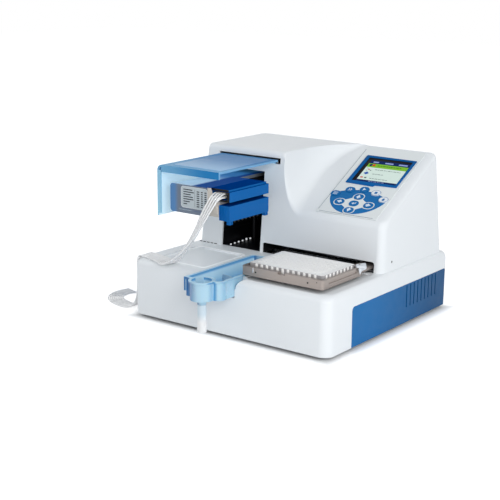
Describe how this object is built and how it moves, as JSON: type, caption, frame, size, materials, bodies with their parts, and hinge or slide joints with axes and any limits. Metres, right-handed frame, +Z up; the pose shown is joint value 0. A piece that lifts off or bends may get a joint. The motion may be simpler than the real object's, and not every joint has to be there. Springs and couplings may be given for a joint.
{
  "type": "microplate reagent dispenser",
  "caption": "Bench instrument that pumps reagent through a peristaltic tube cassette into a microplate, which travels under the head on a belt-driven carrier.",
  "frame": {"origin": "middle of the object's box, without the free tubes, on the surface that it stands on", "axes": "+X to the right along the deck, +Y to the rear, +Z up"},
  "size_m": [0.4589, 0.394, 0.247],
  "materials": {
    "shell": "satin moulded",
    "panel_blue": "satin moulded",
    "black": "matte moulded",
    "sheet_metal": "plain",
    "steel": "ground",
    "carrier_metal": "bead blasted and anodised",
    "plate_plastic": "moulded",
    "motor": "black",
    "rubber": "matte",
    "tray_blue": "moulded",
    "tubing": "translucent",
    "pump_grey": "satin",
    "cream": "moulded",
    "cassette_blue": "satin moulded",
    "hood_blue": "smooth moulded",
    "overlay": "printed film",
    "bezel_blue": "printed film",
    "screen": "lit display",
    "key_blue": "printed film",
    "key_white": "printed film",
    "board": "circuit board"
  },
  "bodies": {
    "frame": {"base_shell": "shell", "bottom_pan": "sheet_metal", "rubber_feet": "rubber", "side_panels": "panel_blue", "rear_housing": "shell", "bay_liner": "black", "slot_liner": "black", "rail_beam": "sheet_metal", "x_rail": "steel", "x_motor": "motor", "drive_belt": "rubber", "priming_tray": "tray_blue", "drain_tube": "tubing", "lift_rods": "steel", "lift_motor": "motor", "hood_pin": "steel", "control_overlay": "overlay", "screen_bezel": "bezel_blue", "display": "screen", "keypad_panel": "key_blue", "control_board": "board", "power_supply": "sheet_metal", "power_inlet": "black", "tube_1": "tubing", "tube_2": "tubing", "tube_3": "tubing", "tube_4": "tubing", "tube_5": "tubing", "tube_6": "tubing", "tube_7": "tubing", "tube_8": "tubing"},
    "carrier": {"carrier_arm": "carrier_metal", "plate_carrier": "carrier_metal", "microplate": "plate_plastic"},
    "clip": {"plate_clip": "shell"},
    "drive_wheel": {"drive_pulley": "sheet_metal"},
    "idler_wheel": {"idler_pulley": "sheet_metal"},
    "head": {"pump_frame": "pump_grey", "pump_end_cover": "pump_grey", "cassette_core": "cream", "tube_holder": "cassette_blue", "tip_holder": "cassette_blue", "dispensing_tips": "steel", "tube_loops": "tubing", "pump_motor": "motor"},
    "rotor": {"pump_rotor": "steel", "pump_rollers": "steel"},
    "screw": {"lift_screw": "steel"},
    "hood": {"pump_hood": "hood_blue"},
    "switch": {"power_switch": "black"},
    "key_menu": {"key_menu": "key_blue"},
    "key_prime": {"key_prime": "key_blue"},
    "key_start": {"key_start": "key_blue"},
    "key_stop": {"key_stop": "key_white"},
    "key_empty": {"key_empty": "key_white"},
    "key_up": {"key_up": "key_blue"},
    "key_left": {"key_left": "key_blue"},
    "key_enter": {"key_enter": "key_blue"},
    "key_right": {"key_right": "key_blue"},
    "key_down": {"key_down": "key_blue"}
  },
  "joints": [
    {"name": "carrier_slide", "type": "slide", "parent": "frame", "child": "carrier", "axis": [-1, 0, 0], "range_m": [0, 0.165]},
    {"name": "clip_turn", "type": "hinge", "parent": "carrier", "child": "clip", "pos_m": [0.1536, -0.0269, 0.1088], "axis": [0, 0, 1], "range_deg": [0, 14], "stiffness_Nm_per_rad": 0.05},
    {"name": "drive_wheel_turn", "type": "hinge", "parent": "frame", "child": "drive_wheel", "pos_m": [0.152, 0.068, 0.098], "axis": [0, 0, 1], "range_deg": [-1110, 0]},
    {"name": "idler_wheel_turn", "type": "hinge", "parent": "frame", "child": "idler_wheel", "pos_m": [-0.0328, 0.068, 0.098], "axis": [0, 0, 1], "range_deg": [-1110, 0]},
    {"name": "head_lift", "type": "slide", "parent": "frame", "child": "head", "axis": [0, 0, -1], "range_m": [0, 0.045]},
    {"name": "lift_screw_turn", "type": "hinge", "parent": "frame", "child": "screw", "pos_m": [-0.0853, 0.076, 0.15], "axis": [0, 0, 1], "range_deg": [0, 2030]},
    {"name": "rotor_spin", "type": "hinge", "parent": "head", "child": "rotor", "pos_m": [-0.0853, -0.07264, 0.188], "axis": [0, 1, 0], "continuous": true},
    {"name": "hood_swing", "type": "hinge", "parent": "frame", "child": "hood", "pos_m": [-0.077, 0.01827, 0.231], "axis": [-1, 0, 0], "range_deg": [0, 65]},
    {"name": "switch_rock", "type": "hinge", "parent": "frame", "child": "switch", "pos_m": [-0.074, 0.182, 0.1095], "axis": [1, 0, 0], "range_deg": [-8, 8]},
    {"name": "key_menu_press", "type": "slide", "parent": "frame", "child": "key_menu", "axis": [0, 0.4836, -0.8753], "range_m": [0, 0.0005], "stiffness_N_per_m": 350},
    {"name": "key_prime_press", "type": "slide", "parent": "frame", "child": "key_prime", "axis": [0, 0.4836, -0.8753], "range_m": [0, 0.0005], "stiffness_N_per_m": 350},
    {"name": "key_start_press", "type": "slide", "parent": "frame", "child": "key_start", "axis": [0, 0.4836, -0.8753], "range_m": [0, 0.0005], "stiffness_N_per_m": 350},
    {"name": "key_stop_press", "type": "slide", "parent": "frame", "child": "key_stop", "axis": [0, 0.4836, -0.8753], "range_m": [0, 0.0005], "stiffness_N_per_m": 350},
    {"name": "key_empty_press", "type": "slide", "parent": "frame", "child": "key_empty", "axis": [0, 0.4836, -0.8753], "range_m": [0, 0.0005], "stiffness_N_per_m": 350},
    {"name": "key_up_press", "type": "slide", "parent": "frame", "child": "key_up", "axis": [0, 0.4836, -0.8753], "range_m": [0, 0.0005], "stiffness_N_per_m": 350},
    {"name": "key_left_press", "type": "slide", "parent": "frame", "child": "key_left", "axis": [0, 0.4836, -0.8753], "range_m": [0, 0.0005], "stiffness_N_per_m": 350},
    {"name": "key_enter_press", "type": "slide", "parent": "frame", "child": "key_enter", "axis": [0, 0.4836, -0.8753], "range_m": [0, 0.0005], "stiffness_N_per_m": 350},
    {"name": "key_right_press", "type": "slide", "parent": "frame", "child": "key_right", "axis": [0, 0.4836, -0.8753], "range_m": [0, 0.0005], "stiffness_N_per_m": 350},
    {"name": "key_down_press", "type": "slide", "parent": "frame", "child": "key_down", "axis": [0, 0.4836, -0.8753], "range_m": [0, 0.0005], "stiffness_N_per_m": 350}
  ],
  "couplings": [
    {"joint": "drive_wheel_turn", "follows": "carrier_slide", "rad_per_m": -116.28},
    {"joint": "idler_wheel_turn", "follows": "carrier_slide", "rad_per_m": -116.28},
    {"joint": "lift_screw_turn", "follows": "head_lift", "rad_per_m": 785.4}
  ]
}
